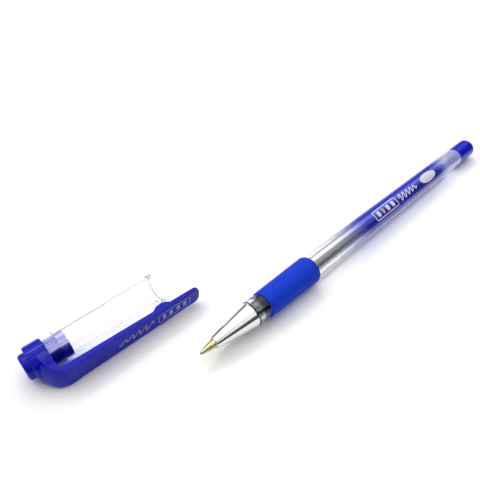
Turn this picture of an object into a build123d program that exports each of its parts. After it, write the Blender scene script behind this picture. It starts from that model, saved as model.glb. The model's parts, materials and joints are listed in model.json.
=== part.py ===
from build123d import *
import os
from math import acos, asin, atan2, cos, degrees, hypot, radians, sin

# Capped gel pen, shown open: the pen lies on its grip and its rear end, and its cap lies beside it.
# Millimetres, +Z up. The pen runs along +X from its writing tip to its end plug. The origin is the
# bottom centre of the box around pen and cap, so z = 0 is the surface that they lie on.
#
# Pieces of the pen are made along X with x = 0 at the writing ball's front.
# Pieces of the cap are made along X, closed end near x = 0, mouth towards +X, clip towards +Z.

# ---- overall ----
PEN_LENGTH = 145.0
PRESS_GAP = 0.02          # between pieces that are pressed together
RUNNING_GAP = 0.05        # between pieces that slide or screw
OVERLAP = 1.0             # cutting shapes reach this far past what they cut

# ---- refill: ball, brass point, holder, tube ----
BALL_R = 0.35             # 0.7 mm ball
BALL_GAP = 0.01
LIP_X = 0.25              # front edge of the socket, ahead of the ball's centre
LIP_R = 0.43
POINT_CONE_X = 3.3        # the brass point's cone ends here
POINT_CONE_R = 1.08
POINT_R = 1.22
POINT_END_X = 12.0
INK_CHANNEL_R = 0.25
HOLDER_X = 7.9
TUBE_X = 14.6
TUBE_END_X = 122.6
TUBE_R = 1.5
TUBE_BORE_R = 1.1
HOLDER_SPIGOT = 3.0
INK_END_X = 117.5
FOLLOWER_LENGTH = 3.5
SAG_X = 28.0              # behind the nose cone the tube sinks onto the floor of the barrel's bore
SAG_LENGTH = 18.0

# ---- nose cone with its screwed tail ----
CONE_X = 4.5
CONE_R = 1.63
CONE_LIP_ROUND = 0.15
CONE_END_X = 17.5
CONE_END_R = 3.64
TAIL_R = 2.4
TAIL_END_X = 27.5
CONE_BORE_R = TUBE_R + 0.12
CONE_BORE_X = 7.75
TAIL_ROUND = 0.3

# ---- barrel: collar that the cap grips, flange, seat of the grip, long tube ----
BARREL_X = CONE_END_X + RUNNING_GAP
GROOVE_END_X = 18.0       # a narrow groove parts nose cone and collar
GROOVE_R = 3.4
COLLAR_R = 3.8
COLLAR_END_X = 20.75
FLANGE_R = 3.6
SEAT_X = 22.2
SEAT_R = 3.1
SEAT_END_X = 42.5
BARREL_FRONT_R = 3.95
BARREL_REAR_R = 3.6
BARREL_END_X = 132.1
BARREL_BORE_R = 2.3
SOCKET_R = TAIL_R + RUNNING_GAP
SAG_DROP = BARREL_BORE_R - TUBE_R - RUNNING_GAP    # down to the bore's floor
SOCKET_END_X = 28.2
EDGE_ROUND = 0.12         # broken edges of the hard pieces

# ---- rubber grip ----
GRIP_FRONT_R = 3.99
GRIP_REAR_R = 4.35
GRIP_FRONT_ROUND = 0.35
GRIP_REAR_ROUND = 0.9

# ---- end plug ----
PLUG_R = 3.57
PLUG_SPIGOT_X = 130.1
PLUG_STEP_X = 143.6
PLUG_ROUND = 0.9
BUTTON_R = 2.3
BUTTON_ROUND = 0.9
SPIGOT_ROUND = 0.3
PLUG_CUP_R = 1.35

# ---- cap: crown, liner, clear tube ----
BOSS_X = 0.5
BOSS_R = 3.59
BOSS_ROUND = 0.8
CROWN_X = 2.2
CROWN_R = 4.8
CROWN_END_X = 6.85
CROWN_ROUND = 0.45
LINER_X = 3.4
LINER_R = 3.68
LINER_NECK_END_X = 9.7
LINER_NOSE_R = 3.58
LINER_END_X = 12.0
LINER_BORE_R = 2.95
LINER_WALL = 1.0
LINER_ROUND = 0.4
CAP_TUBE_R = 4.45
CAP_TUBE_END_X = 39.0
CAP_RIM_R = 4.6
CAP_RIM_LENGTH = 1.0
CAP_RIM_SLOPE = 0.3
CAP_RIM_ROUND = 0.25
CAP_STEP_X = 24.5         # the tube's bore widens here, ahead of the collar's seat
CAP_BORE_R = 3.92

# ---- clip: a bridge that sweeps out of the crown, and a blade over the tube ----
CLIP_OUT_ROOT = 8.93      # outer face's distance from the cap's axis
CLIP_OUT_TIP = 9.15
CLIP_THICK_ROOT = 1.8
CLIP_THICK_TIP = 1.05
CLIP_WIDTH_ROOT = 6.7
CLIP_WIDTH_TIP = 5.8
CLIP_END_X = 47.3
CLIP_TIP_ROUND = 1.9
CLIP_EDGE_ROUND = 0.25
SPLIT_X = 10.5            # where the blade starts to bend when the clip is lifted
SPLIT_GAP = 0.04
BUMP_X = 35.5
BUMP_R = 3.8
BUMP_HEIGHT = 1.5
BUMP_INSET = 0.1          # the bump stops this far short of the blade's sides
BUMP_SINK = 0.3
BRIDGE_FRONT_X = 2.35
BRIDGE_X = 2.85           # the middle of the bridge leaves the crown here
BRIDGE_SLOPE = 58.8       # degrees between the bridge's outward run and the cap's axis
BRIDGE_ARC_R = 5.0
BRIDGE_SKEW = 0.29        # the bridge leans: its upper side lies further back than its lower side
BRIDGE_REACH = 2.4        # its back is drawn out this much, so that it meets the blade's whole width
SHOULDER_OUT = 4.93       # flat shoulders run from the crown's round to the bridge's sides out here
THROAT_R = 1.4            # round under the bridge, between crown and blade

# ---- how pen and cap lie ----
PEN_TILT = degrees(asin((GRIP_REAR_R - PLUG_R) / (PEN_LENGTH - SEAT_END_X)))
TIP_HEIGHT = GRIP_REAR_R + (GRIP_REAR_R - PLUG_R) * SEAT_END_X / (PEN_LENGTH - SEAT_END_X)
CAP_AHEAD = 34.1          # the cap's x = 0 lies this far ahead of the ball
CAP_ASIDE = 26.3
CAP_YAW = -1.6
CLIP_BELOW_LEVEL = 6.8    # the clip points at the pen and this many degrees down


def turned(points, rounds=()):
    """Solid of revolution about X from (x, radius) corners; rounds are (corner, radius) pairs."""
    face = make_face(Polyline(*points, close=True))
    for corner, radius in rounds:
        nearest = face.vertices().sort_by_distance(corner)[0]
        face = fillet(nearest, radius)
    return revolve(face, Axis.X)


def rod(start, end, radius):
    """Solid cylinder along X."""
    return turned([(start, 0), (start, radius), (end, radius), (end, 0)])


def make_barrel():
    return turned(
        [
            (BARREL_X, SOCKET_R),
            (BARREL_X, GROOVE_R),
            (GROOVE_END_X, GROOVE_R),
            (GROOVE_END_X, COLLAR_R),
            (COLLAR_END_X, COLLAR_R),
            (COLLAR_END_X, FLANGE_R),
            (SEAT_X, FLANGE_R),
            (SEAT_X, SEAT_R),
            (SEAT_END_X, SEAT_R),
            (SEAT_END_X, BARREL_FRONT_R),
            (BARREL_END_X, BARREL_REAR_R),
            (BARREL_END_X, BARREL_BORE_R),
            (SOCKET_END_X, BARREL_BORE_R),
            (SOCKET_END_X, SOCKET_R),
        ],
        rounds=[
            ((GROOVE_END_X, COLLAR_R), EDGE_ROUND),
            ((COLLAR_END_X, COLLAR_R), EDGE_ROUND),
            ((BARREL_END_X, BARREL_REAR_R), EDGE_ROUND),
        ],
    )


def make_grip():
    inner = SEAT_R + PRESS_GAP
    front = SEAT_X + PRESS_GAP
    rear = SEAT_END_X - PRESS_GAP
    return turned(
        [(front, inner), (front, GRIP_FRONT_R), (rear, GRIP_REAR_R), (rear, inner)],
        rounds=[((front, GRIP_FRONT_R), GRIP_FRONT_ROUND), ((rear, GRIP_REAR_R), GRIP_REAR_ROUND)],
    )


def make_plug():
    head_x = BARREL_END_X + PRESS_GAP
    spigot_r = BARREL_BORE_R - PRESS_GAP
    return turned(
        [
            (PLUG_SPIGOT_X, PLUG_CUP_R),
            (PLUG_SPIGOT_X, spigot_r),
            (head_x, spigot_r),
            (head_x, PLUG_R),
            (PLUG_STEP_X, PLUG_R),
            (PLUG_STEP_X, BUTTON_R),
            (PEN_LENGTH, BUTTON_R),
            (PEN_LENGTH, 0),
            (head_x, 0),
            (head_x, PLUG_CUP_R),
        ],
        rounds=[
            ((PLUG_SPIGOT_X, spigot_r), SPIGOT_ROUND),
            ((head_x, PLUG_R), EDGE_ROUND),
            ((PLUG_STEP_X, PLUG_R), PLUG_ROUND),
            ((PEN_LENGTH, BUTTON_R), BUTTON_ROUND),
        ],
    )


def make_nose_cone():
    hole_r = POINT_R + RUNNING_GAP
    return turned(
        [
            (CONE_X, hole_r),
            (CONE_X, CONE_R),
            (CONE_END_X, CONE_END_R),
            (CONE_END_X, TAIL_R),
            (TAIL_END_X, TAIL_R),
            (TAIL_END_X, CONE_BORE_R),
            (CONE_BORE_X, CONE_BORE_R),
            (CONE_BORE_X, hole_r),
        ],
        rounds=[
            ((CONE_X, CONE_R), CONE_LIP_ROUND),
            ((CONE_END_X, CONE_END_R), EDGE_ROUND),
            ((TAIL_END_X, TAIL_R), TAIL_ROUND),
        ],
    )


def make_ball():
    return Pos(BALL_R, 0, 0) * Sphere(BALL_R)


def make_brass_point():
    body = turned(
        [
            (LIP_X, 0),
            (LIP_X, LIP_R),
            (POINT_CONE_X, POINT_CONE_R),
            (CONE_X, POINT_R),
            (POINT_END_X, POINT_R),
            (POINT_END_X, 0),
        ]
    )
    pocket = Pos(BALL_R, 0, 0) * Sphere(BALL_R + BALL_GAP)
    channel = turned([(BALL_R, 0), (BALL_R, INK_CHANNEL_R), (POINT_END_X, INK_CHANNEL_R), (POINT_END_X, 0)])
    return body - pocket - channel


def make_tip_holder():
    spigot_r = TUBE_BORE_R - PRESS_GAP
    spigot_end = TUBE_X + HOLDER_SPIGOT
    point_r = POINT_R + PRESS_GAP
    point_end = POINT_END_X + PRESS_GAP
    return turned(
        [
            (HOLDER_X, point_r),
            (HOLDER_X, TUBE_R),
            (TUBE_X, TUBE_R),
            (TUBE_X, spigot_r),
            (spigot_end, spigot_r),
            (spigot_end, INK_CHANNEL_R),
            (point_end, INK_CHANNEL_R),
            (point_end, point_r),
        ]
    )


def sagging_path(start, end):
    """Centre line of the tube: along the axis, an S-bend of two equal arcs, then along the bore's floor."""
    turn = 2 * degrees(atan2(SAG_DROP, SAG_LENGTH))
    arc_r = SAG_LENGTH / 2 / sin(radians(turn))
    first = Line((start, 0, 0), (SAG_X, 0, 0))
    side = Plane(origin=(SAG_X, 0, 0), x_dir=(1, 0, 0), z_dir=(0, -1, 0))
    down = side * CenterArc((0, -arc_r), arc_r, 90, -turn)
    level = side * CenterArc((SAG_LENGTH, arc_r - SAG_DROP), arc_r, 270 - turn, turn)
    last = Line((SAG_X + SAG_LENGTH, 0, -SAG_DROP), (end, 0, -SAG_DROP))
    return Wire([first.edge(), down.edge(), level.edge(), last.edge()])


def sagging_rod(start, end, radius):
    """Solid round rod along the tube's centre line."""
    section = Plane(origin=(start, 0, 0), z_dir=(1, 0, 0)) * Circle(radius)
    return sweep(section, path=sagging_path(start, end))


def make_refill_tube():
    front = TUBE_X + PRESS_GAP
    return sagging_rod(front, TUBE_END_X, TUBE_R) - sagging_rod(front, TUBE_END_X, TUBE_BORE_R)


def make_ink():
    return sagging_rod(TUBE_X + HOLDER_SPIGOT + PRESS_GAP, INK_END_X, TUBE_BORE_R - PRESS_GAP)


def make_follower():
    start = INK_END_X + PRESS_GAP
    return Pos(0, 0, -SAG_DROP) * rod(start, start + FOLLOWER_LENGTH, TUBE_BORE_R - PRESS_GAP)


def make_cap_tube():
    nose_r = LINER_NOSE_R + PRESS_GAP
    rim_x = CAP_TUBE_END_X - CAP_RIM_LENGTH
    return turned(
        [
            (LINER_NECK_END_X, nose_r),
            (LINER_NECK_END_X, CAP_TUBE_R),
            (rim_x - CAP_RIM_SLOPE, CAP_TUBE_R),
            (rim_x, CAP_RIM_R),
            (CAP_TUBE_END_X, CAP_RIM_R),
            (CAP_TUBE_END_X, CAP_BORE_R),
            (CAP_STEP_X, CAP_BORE_R),
            (CAP_STEP_X, nose_r),
        ],
        rounds=[
            ((LINER_NECK_END_X, CAP_TUBE_R), EDGE_ROUND),
            ((CAP_TUBE_END_X, CAP_RIM_R), CAP_RIM_ROUND),
        ],
    )


def make_liner():
    """Inner cup that joins crown and tube and closes over the nose cone."""
    neck_end = LINER_NECK_END_X - PRESS_GAP
    return turned(
        [
            (LINER_X, 0),
            (LINER_X, LINER_R),
            (neck_end, LINER_R),
            (neck_end, LINER_NOSE_R),
            (LINER_END_X, LINER_NOSE_R),
            (LINER_END_X, LINER_BORE_R),
            (LINER_X + LINER_WALL, LINER_BORE_R),
            (LINER_X + LINER_WALL, 0),
        ],
        rounds=[((LINER_END_X, LINER_NOSE_R), LINER_ROUND)],
    )


def make_bridge():
    """The crown's round carried outwards to the blade, leaning, with flat shoulders at its foot."""
    root_x = SPLIT_X - SPLIT_GAP
    past_x = SPLIT_X + OVERLAP
    half = CLIP_WIDTH_ROOT / 2
    slope = radians(BRIDGE_SLOPE)
    base = Plane(origin=(BRIDGE_X, 0, 0), x_dir=(BRIDGE_SKEW, 1, 0), z_dir=(1, -BRIDGE_SKEW, 0))
    oval = base * Ellipse(CROWN_R * hypot(1, BRIDGE_SKEW), CROWN_R)
    run = (CLIP_OUT_ROOT + CROWN_R) / sin(slope)
    leaning = extrude(oval, run, dir=(cos(slope), 0, sin(slope)), both=True)

    slab = Box(4 * past_x, CLIP_WIDTH_ROOT, 2 * CLIP_OUT_ROOT)
    arm = (leaning & slab) + (Pos(BRIDGE_REACH, 0, 0) * leaning & slab)
    outer_face = arm.faces().sort_by(Axis.Z)[-1]
    knee = outer_face.edges().sort_by(Axis.X)[0]
    arm = fillet(knee, BRIDGE_ARC_R)

    touch_turn = atan2(half, SHOULDER_OUT) + acos(CROWN_R / hypot(half, SHOULDER_OUT))
    touch_y, touch_z = CROWN_R * sin(touch_turn), CROWN_R * cos(touch_turn)
    corners = [(touch_y, touch_z), (half, SHOULDER_OUT), (-half, SHOULDER_OUT), (-touch_y, touch_z)]
    front = Plane(origin=(BRIDGE_FRONT_X, 0, 0), x_dir=(0, 1, 0), z_dir=(1, 0, 0))
    length = root_x - BRIDGE_FRONT_X
    shoulders = leaning & extrude(front * make_face(Polyline(*corners, close=True)), length)
    height = CLIP_OUT_ROOT - touch_z
    middle = Pos(BRIDGE_FRONT_X + length / 2, 0, touch_z + height / 2)
    arm = arm & (middle * Box(length, CLIP_WIDTH_ROOT, height))

    inner = CLIP_OUT_ROOT - CLIP_THICK_ROOT
    throat_start = (CROWN_END_X, inner - THROAT_R)
    throat_end = (CROWN_END_X + THROAT_R, inner)
    under = make_face(
        [
            Line((CROWN_END_X, 0), throat_start),
            RadiusArc(throat_start, throat_end, THROAT_R),
            Line(throat_end, (past_x, inner)),
            Line((past_x, inner), (past_x, 0)),
            Line((past_x, 0), (CROWN_END_X, 0)),
        ]
    )
    side = Plane(origin=(0, 0, 0), x_dir=(1, 0, 0), z_dir=(0, -1, 0))
    throat = extrude(side * under, CROWN_R + OVERLAP, both=True)
    return arm + shoulders - throat


def make_crown():
    """Ring, end boss and the bridge to the clip, with the socket for the liner."""
    ring = turned(
        [
            (BOSS_X, 0),
            (BOSS_X, BOSS_R),
            (CROWN_X, BOSS_R),
            (CROWN_X, CROWN_R),
            (CROWN_END_X, CROWN_R),
            (CROWN_END_X, 0),
        ],
        rounds=[
            ((BOSS_X, BOSS_R), BOSS_ROUND),
            ((CROWN_X, CROWN_R), CROWN_ROUND),
            ((CROWN_END_X, CROWN_R), CROWN_ROUND),
        ],
    )
    socket = rod(LINER_X - PRESS_GAP, CROWN_END_X + OVERLAP, LINER_R + PRESS_GAP)
    return ring + make_bridge() - socket


def make_clip():
    """Blade of the clip: tapers in width and thickness, rounded at its free end, bump inside."""
    start = SPLIT_X
    side = Plane(origin=(0, 0, 0), x_dir=(1, 0, 0), z_dir=(0, -1, 0))
    profile = make_face(
        Polyline(
            (start, CLIP_OUT_ROOT),
            (CLIP_END_X, CLIP_OUT_TIP),
            (CLIP_END_X, CLIP_OUT_TIP - CLIP_THICK_TIP),
            (start, CLIP_OUT_ROOT - CLIP_THICK_ROOT),
            close=True,
        )
    )
    blade = extrude(side * profile, CLIP_WIDTH_ROOT / 2, both=True)
    half_root = CLIP_WIDTH_ROOT / 2
    half_tip = CLIP_WIDTH_TIP / 2
    plan = make_face(
        Polyline(
            (start, half_root),
            (CLIP_END_X, half_tip),
            (CLIP_END_X, -half_tip),
            (start, -half_root),
            close=True,
        )
    )
    for y in (half_tip, -half_tip):
        corner = plan.vertices().sort_by_distance((CLIP_END_X, y))[0]
        plan = fillet(corner, CLIP_TIP_ROUND)
    blade = blade & extrude(plan, CLIP_OUT_TIP + OVERLAP)
    outer_edges = blade.faces().sort_by(Axis.Z)[-1].edges()
    free_edges = outer_edges.sort_by(Axis.X)[1:]
    blade = fillet(free_edges, CLIP_EDGE_ROUND)
    lift = BUMP_R - BUMP_HEIGHT
    inner_z = CLIP_OUT_TIP - CLIP_THICK_TIP
    bump = Pos(BUMP_X, 0, inner_z + lift) * Rot(90, 0, 0) * Cylinder(BUMP_R, CLIP_WIDTH_TIP - 2 * BUMP_INSET)
    below = Pos(BUMP_X, 0, inner_z + BUMP_SINK - BUMP_R) * Box(2 * BUMP_R, CLIP_WIDTH_ROOT, 2 * BUMP_R)
    return blade + (bump & below)


on_table = Pos(0, 0, TIP_HEIGHT) * Rot(0, PEN_TILT, 0)
cap_place = Pos(-CAP_AHEAD, CAP_ASIDE, CROWN_R) * Rot(0, 0, CAP_YAW) * Rot(90 + CLIP_BELOW_LEVEL, 0, 0)

pieces = {
    "barrel": on_table * make_barrel(),
    "grip_sleeve": on_table * make_grip(),
    "end_plug": on_table * make_plug(),
    "nose_cone": on_table * make_nose_cone(),
    "writing_ball": on_table * make_ball(),
    "brass_point": on_table * make_brass_point(),
    "tip_holder": on_table * make_tip_holder(),
    "refill_tube": on_table * make_refill_tube(),
    "ink_column": on_table * make_ink(),
    "ink_follower": on_table * make_follower(),
    "cap_tube": cap_place * make_cap_tube(),
    "cap_liner": cap_place * make_liner(),
    "cap_crown": cap_place * make_crown(),
    "pocket_clip": cap_place * make_clip(),
}

box = Compound(list(pieces.values())).bounding_box()
to_origin = Pos(-box.center().X, -box.center().Y, -box.min.Z)

os.makedirs("parts", exist_ok=True)
for name, piece in pieces.items():
    export_step(to_origin * piece, f"parts/{name}.step")
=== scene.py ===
import json
from math import ceil, cos, pi, radians, sin, sqrt, tau

import bpy
from mathutils import Matrix, Vector
from mathutils.bvhtree import BVHTree


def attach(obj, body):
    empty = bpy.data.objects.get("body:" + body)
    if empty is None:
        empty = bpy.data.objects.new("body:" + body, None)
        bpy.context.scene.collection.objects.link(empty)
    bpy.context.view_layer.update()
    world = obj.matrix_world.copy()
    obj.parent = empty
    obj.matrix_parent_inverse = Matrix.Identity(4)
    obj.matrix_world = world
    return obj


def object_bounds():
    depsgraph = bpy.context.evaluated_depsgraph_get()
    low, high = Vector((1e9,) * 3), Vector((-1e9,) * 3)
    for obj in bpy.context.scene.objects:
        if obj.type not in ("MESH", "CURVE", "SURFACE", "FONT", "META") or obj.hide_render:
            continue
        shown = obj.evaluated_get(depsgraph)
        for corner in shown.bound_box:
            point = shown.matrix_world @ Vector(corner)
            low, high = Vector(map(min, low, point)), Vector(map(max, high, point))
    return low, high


# A capped gel pen, open: the pen lies on its grip and its rear end, and its cap lies beside it.
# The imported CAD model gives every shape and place. This script adds materials, the printed marks,
# a floor, the light and the camera. Lengths are metres; MM turns millimetres into metres.

MM = 0.001
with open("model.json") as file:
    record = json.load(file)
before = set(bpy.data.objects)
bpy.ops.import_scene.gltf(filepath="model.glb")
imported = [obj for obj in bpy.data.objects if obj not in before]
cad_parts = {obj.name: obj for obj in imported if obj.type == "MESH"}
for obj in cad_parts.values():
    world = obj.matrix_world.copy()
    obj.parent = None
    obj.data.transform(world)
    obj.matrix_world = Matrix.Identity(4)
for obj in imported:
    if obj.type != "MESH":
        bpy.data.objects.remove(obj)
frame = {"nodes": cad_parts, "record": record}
cad_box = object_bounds()
record = frame["record"]


# ---------------------------------------------------------------- places on the object

def joint(name):
    return next(j for j in record["behaviour"]["joints"] if j["name"] == name)


def mount(name):
    return next(m for m in record["mounts"] if m["name"] == name)


def axes(origin, along, up):
    """Matrix that takes a point (along, side, up) into the row frame."""
    x = Vector(along).normalized()
    y = Vector(up).cross(x).normalized()
    z = x.cross(y)
    turn = Matrix((x, y, z)).transposed().to_4x4()
    return Matrix.Translation(origin) @ turn


def reach(node, place):
    """Lowest and highest corner of a CAD node, measured in a place's own axes."""
    back = place.inverted()
    points = [back @ v.co for v in frame["nodes"][node].data.vertices]
    low = Vector(min(p[i] for p in points) for i in range(3))
    high = Vector(max(p[i] for p in points) for i in range(3))
    return low, high


rearward = -Vector(joint("refill_draw")["axis"])
ball_centre = Vector(joint("ball_roll")["pos_m"])
ball_r = reach("writing_ball", axes(ball_centre, rearward, (0, 0, 1)))[1].x
PEN = axes(ball_centre - ball_r * rearward, rearward, (0, 0, 1))

cap_along = Vector(joint("cap_push")["axis"])
mouth_point = Vector(mount("cap_mouth")["pos_m"])
clip_root = Vector(joint("clip_flex")["pos_m"])
to_clip = (clip_root - mouth_point) - (clip_root - mouth_point).dot(cap_along) * cap_along
CAP = axes(mouth_point, cap_along, to_clip)
CAP = CAP @ Matrix.Translation((reach("cap_crown", CAP)[0].x, 0, 0))

barrel_r = reach("barrel", PEN)[1].y / MM      # at its thickest


# ---------------------------------------------------------------- node helpers

def add(tree, kind, inputs=(), **settings):
    """New shader node. inputs pairs an input's name or number with a value or another node's output."""
    node = tree.nodes.new(kind)
    for name, value in settings.items():
        setattr(node, name, value)
    for key, value in dict(inputs).items():
        if isinstance(value, bpy.types.NodeSocket):
            tree.links.new(value, node.inputs[key])
        else:
            node.inputs[key].default_value = value
    return node


def calc(tree, operation, a, b=0.0, c=0.0):
    return add(tree, "ShaderNodeMath", {0: a, 1: b, 2: c}, operation=operation).outputs[0]


def step(tree, value, start, end):
    """0 before start, 1 after end, smooth between; with start above end it falls from 1 to 0."""
    ranged = add(
        tree,
        "ShaderNodeMapRange",
        {"Value": value, "From Min": start, "From Max": end},
        interpolation_type="SMOOTHSTEP",
    )
    return ranged.outputs["Result"]


def noise(tree, coords, scale, detail=3.0, stretch=(1, 1, 1)):
    scaled = add(tree, "ShaderNodeMapping", {"Vector": coords, "Scale": stretch})
    made = add(
        tree,
        "ShaderNodeTexNoise",
        {"Vector": scaled.outputs[0], "Scale": scale, "Detail": detail},
    )
    return made.outputs["Fac"]


def between(tree, value, low, high):
    """A 0 to 1 value spread over low to high."""
    return add(tree, "ShaderNodeMapRange", {"Value": value, "To Min": low, "To Max": high}).outputs["Result"]


def grey(level):
    return (level, level, level)


SHARE, COLOUR_A, COLOUR_B, MIXED = 0, 6, 7, 2      # a colour mix node's three inputs and its output


def mix_colour(tree, share, a, b):
    """Colour a where share is 0, b where it is 1; a colour is three numbers or a node's output."""
    colours = [c if isinstance(c, bpy.types.NodeSocket) else (*c, 1) for c in (a, b)]
    inputs = {SHARE: share, COLOUR_A: colours[0], COLOUR_B: colours[1]}
    return add(tree, "ShaderNodeMix", inputs, data_type="RGBA").outputs[MIXED]


def principled(tree, inputs):
    return add(tree, "ShaderNodeBsdfPrincipled", inputs).outputs[0]


def place_coords(tree, place):
    """The point's coordinates in a place's axes, in millimetres: the vector, along, side and up."""
    point = add(tree, "ShaderNodeTexCoord").outputs["Object"]
    back = place.inverted()
    moved = add(
        tree,
        "ShaderNodeVectorMath",
        {0: point, 1: place.translation},
        operation="SUBTRACT",
    ).outputs[0]
    parts = []
    for row in range(3):
        direction = Vector(back[row][:3]) / MM
        dot = add(tree, "ShaderNodeVectorMath", {0: moved, 1: direction}, operation="DOT_PRODUCT")
        parts.append(dot.outputs["Value"])
    joined = add(tree, "ShaderNodeCombineXYZ", {0: parts[0], 1: parts[1], 2: parts[2]})
    return joined.outputs[0], *parts


def new_material(name):
    material = bpy.data.materials.new(name)
    material.use_nodes = True
    tree = material.node_tree
    tree.nodes.clear()
    output = tree.nodes.new("ShaderNodeOutputMaterial")
    return material, tree, output.inputs["Surface"]


def bump(tree, height, depth):
    """Shading normal of a surface roughened by height, from 0 to depth millimetres."""
    return add(tree, "ShaderNodeBump", {"Height": height, "Distance": depth * MM}).outputs["Normal"]


def let_lamps_through(tree, surface, shader, tint):
    """Clear plastic: lamps shine through it, coloured by tint, so that what is inside is lit."""
    shadow = add(tree, "ShaderNodeLightPath").outputs["Is Shadow Ray"]
    clear = add(tree, "ShaderNodeBsdfTransparent", {"Color": tint}).outputs[0]
    mixed = add(tree, "ShaderNodeMixShader", {0: shadow, 1: shader, 2: clear})
    tree.links.new(mixed.outputs[0], surface)


# ---------------------------------------------------------------- materials

CONE_END = (17.4, 17.5)      # mm from the tip: the plating ends with the cone
THREAD_PITCH = 0.8           # mm


def chrome(name, place):
    """Plated metal, turned: fine rings round the axis and faint haze; the screwed tail is near black,
    striped with painted shade at the thread pitch.
    """
    material, tree, surface = new_material(name)
    coords, along = place_coords(tree, place)[:2]
    rings = noise(tree, coords, 9.0, 4.0, (1, 0.02, 0.02))
    haze = noise(tree, coords, 0.35, 3.0)
    roughness = calc(tree, "ADD", between(tree, rings, 0.02, 0.07), between(tree, haze, 0.0, 0.05))
    plated = mix_colour(tree, between(tree, haze, 0.2, 0.8), (0.74, 0.745, 0.75), (0.84, 0.84, 0.83))
    # painted shade: dark and lighter stripes at the thread pitch stand in for the light and shade on the
    # thread ridges
    thread_shade_stripes = step(tree, calc(tree, "SINE", calc(tree, "MULTIPLY", along, tau / THREAD_PITCH)), -0.6, 0.6)
    striped_dark_tail = mix_colour(tree, thread_shade_stripes, (0.02, 0.025, 0.035), (0.16, 0.17, 0.19))
    colour = mix_colour(tree, step(tree, along, *CONE_END), plated, striped_dark_tail)
    shader = principled(
        tree,
        {"Base Color": colour, "Metallic": 1.0, "Roughness": roughness, "Normal": bump(tree, rings, 0.002)},
    )
    tree.links.new(shader, surface)
    return material


def brass(name, place):
    """Turned brass: rings from the lathe, warm, a little duller in patches."""
    material, tree, surface = new_material(name)
    coords = place_coords(tree, place)[0]
    rings = noise(tree, coords, 14.0, 4.0, (1, 0.03, 0.03))
    patches = noise(tree, coords, 1.2, 4.0)
    colour = mix_colour(tree, patches, (0.66, 0.58, 0.34), (0.44, 0.37, 0.18))
    shader = principled(
        tree,
        {
            "Base Color": colour,
            "Metallic": 1.0,
            "Roughness": between(tree, patches, 0.12, 0.3),
            "Normal": bump(tree, rings, 0.004),
        },
    )
    tree.links.new(shader, surface)
    return material


def carbide(name, place):
    """The ball: hard dark metal, ground smooth."""
    material, tree, surface = new_material(name)
    coords = place_coords(tree, place)[0]
    grain = noise(tree, coords, 12.0, 5.0)
    shader = principled(
        tree,
        {
            "Base Color": mix_colour(tree, grain, (0.10, 0.10, 0.11), (0.22, 0.22, 0.24)),
            "Metallic": 1.0,
            "Roughness": between(tree, grain, 0.18, 0.32),
        },
    )
    tree.links.new(shader, surface)
    return material


def soft_rubber(name, place):
    """Smooth blue rubber: fine grain, dusty bloom, no shine."""
    material, tree, surface = new_material(name)
    coords = place_coords(tree, place)[0]
    grain = noise(tree, coords, 7.0, 5.0)
    bloom = noise(tree, coords, 0.25, 3.0)
    colour = mix_colour(tree, bloom, (0.003, 0.036, 0.50), (0.005, 0.048, 0.60))
    shader = principled(
        tree,
        {
            "Base Color": colour,
            "Roughness": between(tree, grain, 0.5, 0.7),
            "Specular IOR Level": 0.12,
            "Normal": bump(tree, grain, 0.02),
        },
    )
    tree.links.new(shader, surface)
    return material


def blue_plastic(name, place, colour_a, colour_b):
    """Moulded opaque blue plastic: glossy, with slight waviness and a few hairline scuffs."""
    material, tree, surface = new_material(name)
    coords = place_coords(tree, place)[0]
    waves = noise(tree, coords, 0.5, 2.0)
    scuffs = noise(tree, coords, 3.0, 5.0, (0.15, 1, 1))
    marks = step(tree, scuffs, 0.62, 0.74)
    colour = mix_colour(tree, waves, colour_a, colour_b)
    roughness = calc(tree, "MULTIPLY_ADD", marks, 0.12, between(tree, waves, 0.05, 0.11))
    shader = principled(
        tree,
        {
            "Base Color": colour,
            "Roughness": roughness,
            "IOR": 1.5,
            "Specular IOR Level": 0.20,
            "Normal": bump(tree, waves, 0.01),
        },
    )
    tree.links.new(shader, surface)
    return material


LINER_PAINTED_LIGHT = (0.62, 0.79)           # direction of the painted light on the liner: shares of above and of away from the clip


def frosted_blue(name, place):
    """Translucent blue plastic of the liner: painted pale, with painted highlight streaks, where light falls
    in, and painted deep blue shade elsewhere.
    """
    material, tree, surface = new_material(name)
    coords, _, side, up = place_coords(tree, place)
    flow = noise(tree, coords, 0.8, 3.0, (0.4, 1, 1))
    painted_light_streaks = noise(tree, coords, 1.3, 2.0, (0.08, 1, 1))
    above = calc(tree, "MULTIPLY", side, LINER_PAINTED_LIGHT[0])
    far_upper = calc(tree, "SUBTRACT", above, calc(tree, "MULTIPLY", up, LINER_PAINTED_LIGHT[1]))
    # painted light and shade: pale with painted highlight streaks towards the light, painted deep blue shade
    # away from it
    lit = step(tree, calc(tree, "MULTIPLY_ADD", painted_light_streaks, 0.8, far_upper), 0.3, 0.9)
    pale = mix_colour(tree, step(tree, painted_light_streaks, 0.35, 0.65), (0.20, 0.22, 0.66), (0.62, 0.64, 0.92))
    deep = mix_colour(tree, flow, (0.003, 0.004, 0.20), (0.008, 0.010, 0.32))
    shader = principled(
        tree,
        {
            "Base Color": mix_colour(tree, lit, deep, pale),
            "Roughness": between(tree, flow, 0.12, 0.25),
            "IOR": 1.49,
            "Specular IOR Level": 0.35,
            "Transmission Weight": 0.35,
        },
    )
    let_lamps_through(tree, surface, shader, (0.45, 0.5, 0.9, 1))
    return material


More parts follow.
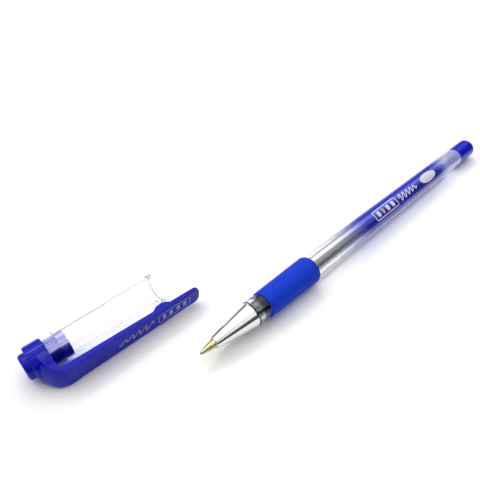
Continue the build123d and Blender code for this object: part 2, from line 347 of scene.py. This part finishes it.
def clear_plastic(name, place):
    """Clear moulded plastic: slight flow waves and a trace of handling haze."""
    material, tree, surface = new_material(name)
    coords = place_coords(tree, place)[0]
    waves = noise(tree, coords, 0.35, 2.0, (0.5, 1, 1))
    haze = step(tree, noise(tree, coords, 1.5, 5.0), 0.5, 0.8)
    shader = principled(
        tree,
        {
            "Base Color": mix_colour(tree, waves, (0.985, 0.99, 1.0), grey(1.0)),
            "Roughness": calc(tree, "MULTIPLY", haze, 0.04),
            "IOR": 1.49,
            "Transmission Weight": 1.0,
            "Normal": bump(tree, waves, 0.004),
        },
    )
    let_lamps_through(tree, surface, shader, (0.93, 0.94, 0.96, 1))
    return material


FILM_STARTS, FILM_FULL = 50, 70      # mm from the tip: where the blue film starts, and is full
FILM_FADES, FILM_ENDS = 114, 126     # and where it gives way to a pale haze
FILM_BOTTOM = (-0.1, 0.8)            # mm above the axis: its soft lower edge
SKIN_R = (3.3, 3.4)                  # mm: the bore's wall lies inside this, the outside beyond it
FLANGE_FRONT = (20.6, 20.9)          # mm from the tip: the flange ahead of the grip is painted dark blue, as painted shade and a painted reflection of the rubber behind it
FLANGE_REAR = (22.6, 22.3)           # as it shows the rubber behind it
FLANGE_PAINTED_SHADE = (0.03, 0.045, 0.20)
FILM_PAINTED_SHADE_SPAN = (1.0, 3.0)             # mm above the axis: painted shade makes the film darker below this, painted light makes it bright above
FILM_SHADE_COLOUR_PAINTED, FILM_LIGHT_COLOUR_PAINTED = (0.020, 0.026, 0.32), (0.012, 0.026, 0.66)
REAR_HAZE = (0.70, 0.74, 0.96)
FILM_COVER = 0.33                    # how opaque the film is
REAR_COVER = 0.05                    # how much more opaque the haze is


def barrel_plastic(name, place):
    """Clear barrel; a see-through blue film covers its upper outside and turns to pale haze at the rear."""
    material, tree, surface = new_material(name)
    coords, along, side, up = place_coords(tree, place)
    waves = noise(tree, coords, 0.35, 2.0, (0.4, 1, 1))
    haze = step(tree, noise(tree, coords, 1.5, 5.0), 0.5, 0.8)

    across = add(tree, "ShaderNodeCombineXYZ", {1: side, 2: up}).outputs[0]
    radius = add(tree, "ShaderNodeVectorMath", {0: across}, operation="LENGTH").outputs["Value"]
    outside = step(tree, radius, *SKIN_R)
    rear = calc(tree, "MULTIPLY", outside, step(tree, along, FILM_FADES, FILM_ENDS))
    film = calc(tree, "MULTIPLY", outside, step(tree, along, FILM_STARTS, FILM_FULL))
    film = calc(tree, "MULTIPLY", film, step(tree, up, *FILM_BOTTOM))
    film = calc(tree, "MAXIMUM", film, rear)

    clear = mix_colour(tree, waves, (0.95, 0.955, 0.98), grey(1.0))
    # painted shade and painted reflection of the rubber: the flange ahead of the grip is coloured dark blue
    flange = calc(tree, "MULTIPLY", step(tree, along, *FLANGE_FRONT), step(tree, along, *FLANGE_REAR))
    clear = mix_colour(tree, flange, clear, FLANGE_PAINTED_SHADE)
    # painted shade and light: the film's lower part is painted darker, its upper part brighter
    blue = mix_colour(tree, step(tree, up, *FILM_PAINTED_SHADE_SPAN), FILM_SHADE_COLOUR_PAINTED, FILM_LIGHT_COLOUR_PAINTED)
    film_colour = mix_colour(tree, rear, blue, REAR_HAZE)
    cover = calc(tree, "MULTIPLY_ADD", rear, REAR_COVER, FILM_COVER)
    shader = principled(
        tree,
        {
            "Base Color": mix_colour(tree, film, clear, film_colour),
            "Roughness": calc(tree, "MULTIPLY", haze, 0.04),
            "IOR": 1.49,
            "Specular IOR Level": 0.35,
            "Transmission Weight": calc(tree, "SUBTRACT", 1.0, calc(tree, "MULTIPLY", film, cover)),
            "Normal": bump(tree, waves, 0.01),
        },
    )
    film_shade = mix_colour(tree, rear, (0.35, 0.38, 0.80), (0.7, 0.72, 0.85))
    lamp_tint = mix_colour(tree, film, (0.93, 0.94, 0.97), film_shade)
    let_lamps_through(tree, surface, shader, lamp_tint)
    return material


def milky_plastic(name, place):
    """Refill tube: thin milky plastic with the ink's grey behind it."""
    material, tree, surface = new_material(name)
    coords = place_coords(tree, place)[0]
    flow = noise(tree, coords, 0.6, 3.0, (0.1, 1, 1))
    shader = principled(
        tree,
        {
            "Base Color": mix_colour(tree, flow, (0.46, 0.48, 0.49), (0.56, 0.58, 0.59)),
            "Roughness": between(tree, flow, 0.2, 0.35),
            "IOR": 1.49,
            "Transmission Weight": 0.93,
        },
    )
    let_lamps_through(tree, surface, shader, (0.6, 0.62, 0.63, 1))
    return material


def wet_ink(name, place, colour_a, colour_b):
    """Ink or grease in the tube: slow swirls of two close colours, wet and shiny."""
    material, tree, surface = new_material(name)
    coords = place_coords(tree, place)[0]
    swirl = noise(tree, coords, 0.9, 4.0, (0.3, 1, 1))
    shader = principled(
        tree,
        {
            "Base Color": mix_colour(tree, swirl, colour_a, colour_b),
            "Roughness": between(tree, swirl, 0.15, 0.3),
        },
    )
    tree.links.new(shader, surface)
    return material


def print_ink(name, place, colour, cover):
    """Screen-printed ink: slightly uneven cover, matte."""
    material, tree, surface = new_material(name)
    coords = place_coords(tree, place)[0]
    speckle = noise(tree, coords, 6.0, 4.0)
    shader = principled(
        tree,
        {
            "Base Color": mix_colour(tree, speckle, colour, [c * 0.9 for c in colour]),
            "Roughness": between(tree, speckle, 0.4, 0.6),
        },
    )
    gaps = add(tree, "ShaderNodeBsdfTransparent", {"Color": (1, 1, 1, 1)}).outputs[0]
    share = between(tree, speckle, cover - 0.08, cover + 0.08)
    mixed = add(tree, "ShaderNodeMixShader", {0: share, 1: gaps, 2: shader})
    tree.links.new(mixed.outputs[0], surface)
    return material


def paper_floor(name):
    """Plain pale paper with a faint mottle."""
    material, tree, surface = new_material(name)
    point = add(tree, "ShaderNodeTexCoord").outputs["Object"]
    mottle = noise(tree, point, 40.0, 4.0)
    shader = principled(
        tree,
        {
            "Base Color": mix_colour(tree, mottle, (0.93, 0.925, 0.905), (0.95, 0.945, 0.925)),
            "Roughness": 0.8,
            "Specular IOR Level": 0.2,
        },
    )
    tree.links.new(shader, surface)
    return material


def dress(node, material):
    """Gives a CAD node its material."""
    mesh = frame["nodes"][node].data
    mesh.materials.clear()
    mesh.materials.append(material)


cap_blue = blue_plastic("blue_plastic_cap", CAP, (0.0015, 0.003, 0.35), (0.003, 0.005, 0.45))
milky = milky_plastic("milky_plastic", PEN)

dress("barrel", barrel_plastic("tinted_barrel", PEN))
dress("grip_sleeve", soft_rubber("grip_rubber", PEN))
dress("end_plug", blue_plastic("blue_plastic_pen", PEN, (0.002, 0.004, 0.46), (0.004, 0.006, 0.56)))
dress("nose_cone", chrome("chrome_plating", PEN))
dress("writing_ball", carbide("ball_carbide", PEN))
dress("brass_point", brass("point_brass", PEN))
dress("tip_holder", milky)
dress("refill_tube", milky)
dress("ink_column", wet_ink("ink", PEN, (0.012, 0.014, 0.030), (0.02, 0.022, 0.045)))
dress("ink_follower", wet_ink("follower_grease", PEN, (0.5, 0.5, 0.45), (0.6, 0.6, 0.55)))
dress("cap_tube", clear_plastic("clear_cap", CAP))
dress("cap_liner", frosted_blue("frosted_liner", CAP))
dress("cap_crown", cap_blue)
dress("pocket_clip", cap_blue)


# ---------------------------------------------------------------- printed marks

LIFT = 0.02                  # mm between a printed mark and the plastic under it
MARK_STEP = 0.4              # mm, about the longest side of a mark's faces
BARREL_PRINT_ANGLE = 66      # degrees round the barrel, up from its level side away from the cap
ABOVE_CLIP = 20              # mm from the cap's axis to a point well outside the clip
LOOP_POINTS = 24             # points in each wave of a scribble
SHRINK = 0.5                 # how much lower a scribble's last wave is than its first
SLANT = 0.5                  # how far a scribble leans, as a share of its height

# mm along the pen from its tip
BARREL_FRAME = (73.5, 86.5)
BARREL_BARS = (75.7, 81.0, 84.0)
BARREL_ORANGE_BAR = 78.3
BARREL_SCRIBBLE = (88.2, 99.5)
BARREL_OVAL = 107.8

# mm along the cap from its closed end; the scribble runs back towards that end
CLIP_FRAME = (33.0, 43.4)
CLIP_BARS = (34.8, 37.0, 39.4, 41.6)
CLIP_SCRIBBLE = (31.2, 21.0)


def surface_of(node):
    """A CAD node's surface, ready for finding where a line meets it."""
    mesh = frame["nodes"][node].data
    points = [v.co.copy() for v in mesh.vertices]
    return BVHTree.FromPolygons(points, [tuple(p.vertices) for p in mesh.polygons])


def onto_barrel(tree):
    """Takes flat (along, around) millimetres to the barrel's outside."""
    def wrap(along, around):
        angle = radians(BARREL_PRINT_ANGLE) + around / barrel_r
        outward = PEN.to_3x3() @ Vector((0, -cos(angle), sin(angle)))
        start = PEN @ Vector((along * MM, 0, 0)) + 2 * barrel_r * MM * outward
        spot = tree.ray_cast(start, -outward)[0]
        return spot + LIFT * MM * outward

    return wrap


def onto_clip(tree):
    """Takes flat (along, across) millimetres to the clip's outer face."""
    outward = CAP.to_3x3() @ Vector((0, 0, 1))

    def lay(along, across):
        start = CAP @ Vector((along * MM, across * MM, 0)) + ABOVE_CLIP * MM * outward
        spot = tree.ray_cast(start, -outward)[0]
        return spot + LIFT * MM * outward

    return lay


class Marks:
    """Collects flat marks and makes them one mesh that lies on a surface."""

    def __init__(self, lay):
        self.lay = lay
        self.points = []
        self.faces = []

    def stroke(self, path, widths):
        """A band along a path of (along, across) points; widths holds its width at each point."""
        rows = ceil(max(widths) / MARK_STEP) + 1
        first = len(self.points)
        for i, (x, y) in enumerate(path):
            before, after = path[max(i - 1, 0)], path[min(i + 1, len(path) - 1)]
            run = Vector((after[0] - before[0], after[1] - before[1])).normalized()
            for row in range(rows):
                off = widths[i] * (row / (rows - 1) - 0.5)
                self.points.append(self.lay(x - off * run.y, y + off * run.x))
        for i in range(len(path) - 1):
            for row in range(rows - 1):
                corner = first + i * rows + row
                self.faces.append((corner, corner + rows, corner + rows + 1, corner + 1))

    def bar(self, start, end, width):
        """A straight band."""
        length = sqrt((end[0] - start[0]) ** 2 + (end[1] - start[1]) ** 2)
        count = ceil(length / MARK_STEP) + 1
        shares = [i / (count - 1) for i in range(count)]
        path = [(start[0] + k * (end[0] - start[0]), start[1] + k * (end[1] - start[1])) for k in shares]
        self.stroke(path, [width] * count)

    def frame(self, x0, x1, half, line, corner):
        """A rounded rectangle's outline from x0 to x1; half is its reach above and below zero."""
        path = []
        for cx, cy, turn in (
            (x1 - corner, half - corner, 0),
            (x0 + corner, half - corner, 90),
            (x0 + corner, corner - half, 180),
            (x1 - corner, corner - half, 270),
        ):
            for extra in (0, 30, 60, 90):
                angle = radians(turn + extra)
                path.append((cx + corner * cos(angle), cy + corner * sin(angle)))
        path.append(path[0])
        for start, end in zip(path, path[1:]):
            self.bar(start, end, line)

    def oval(self, centre, half_length, half_width):
        """A filled oval, long along the object."""
        count = ceil(2 * half_length / MARK_STEP)
        shares = [-cos(pi * i / count) for i in range(count + 1)]
        path = [(centre + half_length * k, 0.0) for k in shares]
        self.stroke(path, [2 * half_width * sqrt(max(0.0, 1 - k * k)) for k in shares])

    def scribble(self, x0, x1, height, line, loops):
        """A slanted wavy line whose waves shrink towards its end."""
        count = LOOP_POINTS * loops
        path = []
        for i in range(count + 1):
            k = i / count
            rise = height / 2 * (1 - SHRINK * k)
            swing = sin(tau * loops * k)
            path.append((x0 + k * (x1 - x0) + SLANT * rise * swing, rise * swing))
        self.stroke(path, [line] * len(path))

    def finish(self, name, material, body):
        """Makes the mesh and lets it ride on a moving body."""
        mesh = bpy.data.meshes.new(name)
        mesh.from_pydata(self.points, [], self.faces)
        mesh.materials.append(material)
        made = bpy.data.objects.new(name, mesh)
        bpy.context.collection.objects.link(made)
        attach(made, body)


def print_barrel():
    """Generic marks in place of printed words: a framed row of bars, a scribble and an oval, in mm."""
    lay = onto_barrel(surface_of("barrel"))
    white = Marks(lay)
    white.frame(*BARREL_FRAME, half=1.75, line=0.35, corner=0.5)
    for x in BARREL_BARS:
        white.bar((x, -1.0), (x, 1.0), width=1.5)
    white.scribble(*BARREL_SCRIBBLE, height=2.9, line=0.42, loops=5)
    white.oval(BARREL_OVAL, half_length=5.0, half_width=1.95)
    white.finish("barrel_print", print_ink("white_ink", PEN, (0.78, 0.80, 0.90), 0.85), "pen")

    orange = Marks(lay)
    orange.bar((BARREL_ORANGE_BAR, -1.0), (BARREL_ORANGE_BAR, 1.0), width=1.0)
    orange.finish("barrel_print_accent", print_ink("orange_ink", PEN, (0.85, 0.40, 0.12), 0.85), "pen")


def print_clip():
    """A scribble and a framed row of bars on the clip's outer face, in mm."""
    white = Marks(onto_clip(surface_of("pocket_clip")))
    white.scribble(*CLIP_SCRIBBLE, height=2.5, line=0.26, loops=5)
    white.frame(*CLIP_FRAME, half=1.6, line=0.22, corner=0.4)
    for x in CLIP_BARS:
        white.bar((x, -0.85), (x, 0.85), width=1.0)
    white.finish("clip_print", print_ink("clip_ink", CAP, (0.55, 0.58, 0.75), 0.6), "clip")


print_barrel()
print_clip()


# ---------------------------------------------------------------- floor, light and camera

FLOOR_SIZE = 4.0             # metres
FLOOR_DROP = 0.02            # mm between the floor and the lowest point of pen and cap

# The sky's near side is -Y, its far side +Y. Heights are degrees above the horizon.
SKY_STRENGTH = 1.1
NEAR_GAP_TOP = (26, 38)
FAR_GAP_TOP = (14, 46)
NEAR_GAP, NEAR_DIM, NEAR_BRIGHT = 0.08, 0.42, 1.05
FAR_GAP, FAR_BRIGHT = 0.20, 1.62


def make_floor():
    """A large square of paper under everything."""
    half = FLOOR_SIZE / 2
    mesh = bpy.data.meshes.new("floor")
    corners = [(-half, -half, 0), (half, -half, 0), (half, half, 0), (-half, half, 0)]
    mesh.from_pydata(corners, [], [(0, 1, 2, 3)])
    floor = bpy.data.objects.new("floor", mesh)
    floor.location.z = cad_box[0].z - FLOOR_DROP * MM
    mesh.materials.append(paper_floor("paper_floor"))
    bpy.context.collection.objects.link(floor)


def make_sky():
    """A light tent: white above a dark gap that runs all round; its -Y side is dimmer towards -X."""
    world = bpy.data.worlds.new("light_tent")
    world.use_nodes = True
    tree = world.node_tree
    tree.nodes.clear()
    direction = add(tree, "ShaderNodeTexCoord").outputs["Generated"]
    split = add(tree, "ShaderNodeSeparateXYZ", {0: direction})
    height = calc(tree, "MULTIPLY", calc(tree, "ARCSINE", split.outputs["Z"]), 180 / pi)
    near_top = step(tree, height, *NEAR_GAP_TOP)
    far_top = step(tree, height, *FAR_GAP_TOP)
    far_side = step(tree, split.outputs["Y"], -0.15, 0.15)
    near_right = step(tree, split.outputs["X"], -0.05, 0.2)
    near_white = mix_colour(tree, near_right, grey(NEAR_DIM), grey(NEAR_BRIGHT))
    near = mix_colour(tree, near_top, grey(NEAR_GAP), near_white)
    far = mix_colour(tree, far_top, grey(FAR_GAP), grey(FAR_BRIGHT))
    colour = mix_colour(tree, far_side, near, far)
    background = add(tree, "ShaderNodeBackground", {"Color": colour, "Strength": SKY_STRENGTH})
    output = tree.nodes.new("ShaderNodeOutputWorld")
    tree.links.new(background.outputs[0], output.inputs["Surface"])
    bpy.context.scene.world = world


def make_softbox(name, azimuth, elevation, distance, length, width, power):
    """Area lamp long along X and aimed at the object; degrees from +X and up, metres and watts."""
    centre = (cad_box[0] + cad_box[1]) / 2
    a, e = radians(azimuth), radians(elevation)
    towards = Vector((cos(a) * cos(e), sin(a) * cos(e), sin(e)))
    data = bpy.data.lights.new(name, "AREA")
    data.shape = "RECTANGLE"
    data.size = length
    data.size_y = width
    data.energy = power
    lamp = bpy.data.objects.new(name, data)
    lamp.matrix_world = axes(centre + distance * towards, (1, 0, 0), towards)
    bpy.context.collection.objects.link(lamp)


make_floor()
make_sky()
make_softbox("rear_softbox", azimuth=85, elevation=57, distance=1.2, length=1.0, width=0.11, power=2.6)
make_softbox("top_softbox", azimuth=-82, elevation=79, distance=1.2, length=1.0, width=0.08, power=1.0)


def make_camera(height, ahead, aside, yaw, down, lens):
    """Camera ahead and aside of the pen's tip and above the surface, in metres; turned in degrees."""
    tip = PEN.translation
    data = bpy.data.cameras.new("camera")
    data.lens = lens
    data.sensor_width = 36.0
    data.clip_start = 0.005
    data.clip_end = 10.0
    camera = bpy.data.objects.new("camera", data)
    a, e = radians(yaw), radians(down)
    looking = Vector((cos(a) * cos(e), sin(a) * cos(e), -sin(e)))
    camera.location = (tip.x - ahead, tip.y - aside, height)
    camera.rotation_mode = "QUATERNION"
    camera.rotation_quaternion = looking.to_track_quat("-Z", "Y")
    bpy.context.collection.objects.link(camera)
    bpy.context.scene.camera = camera


make_camera(height=0.10024, ahead=0.03606, aside=0.05162, yaw=46.09, down=42.555, lens=33.306)
bpy.context.scene.view_settings.view_transform = "Standard"
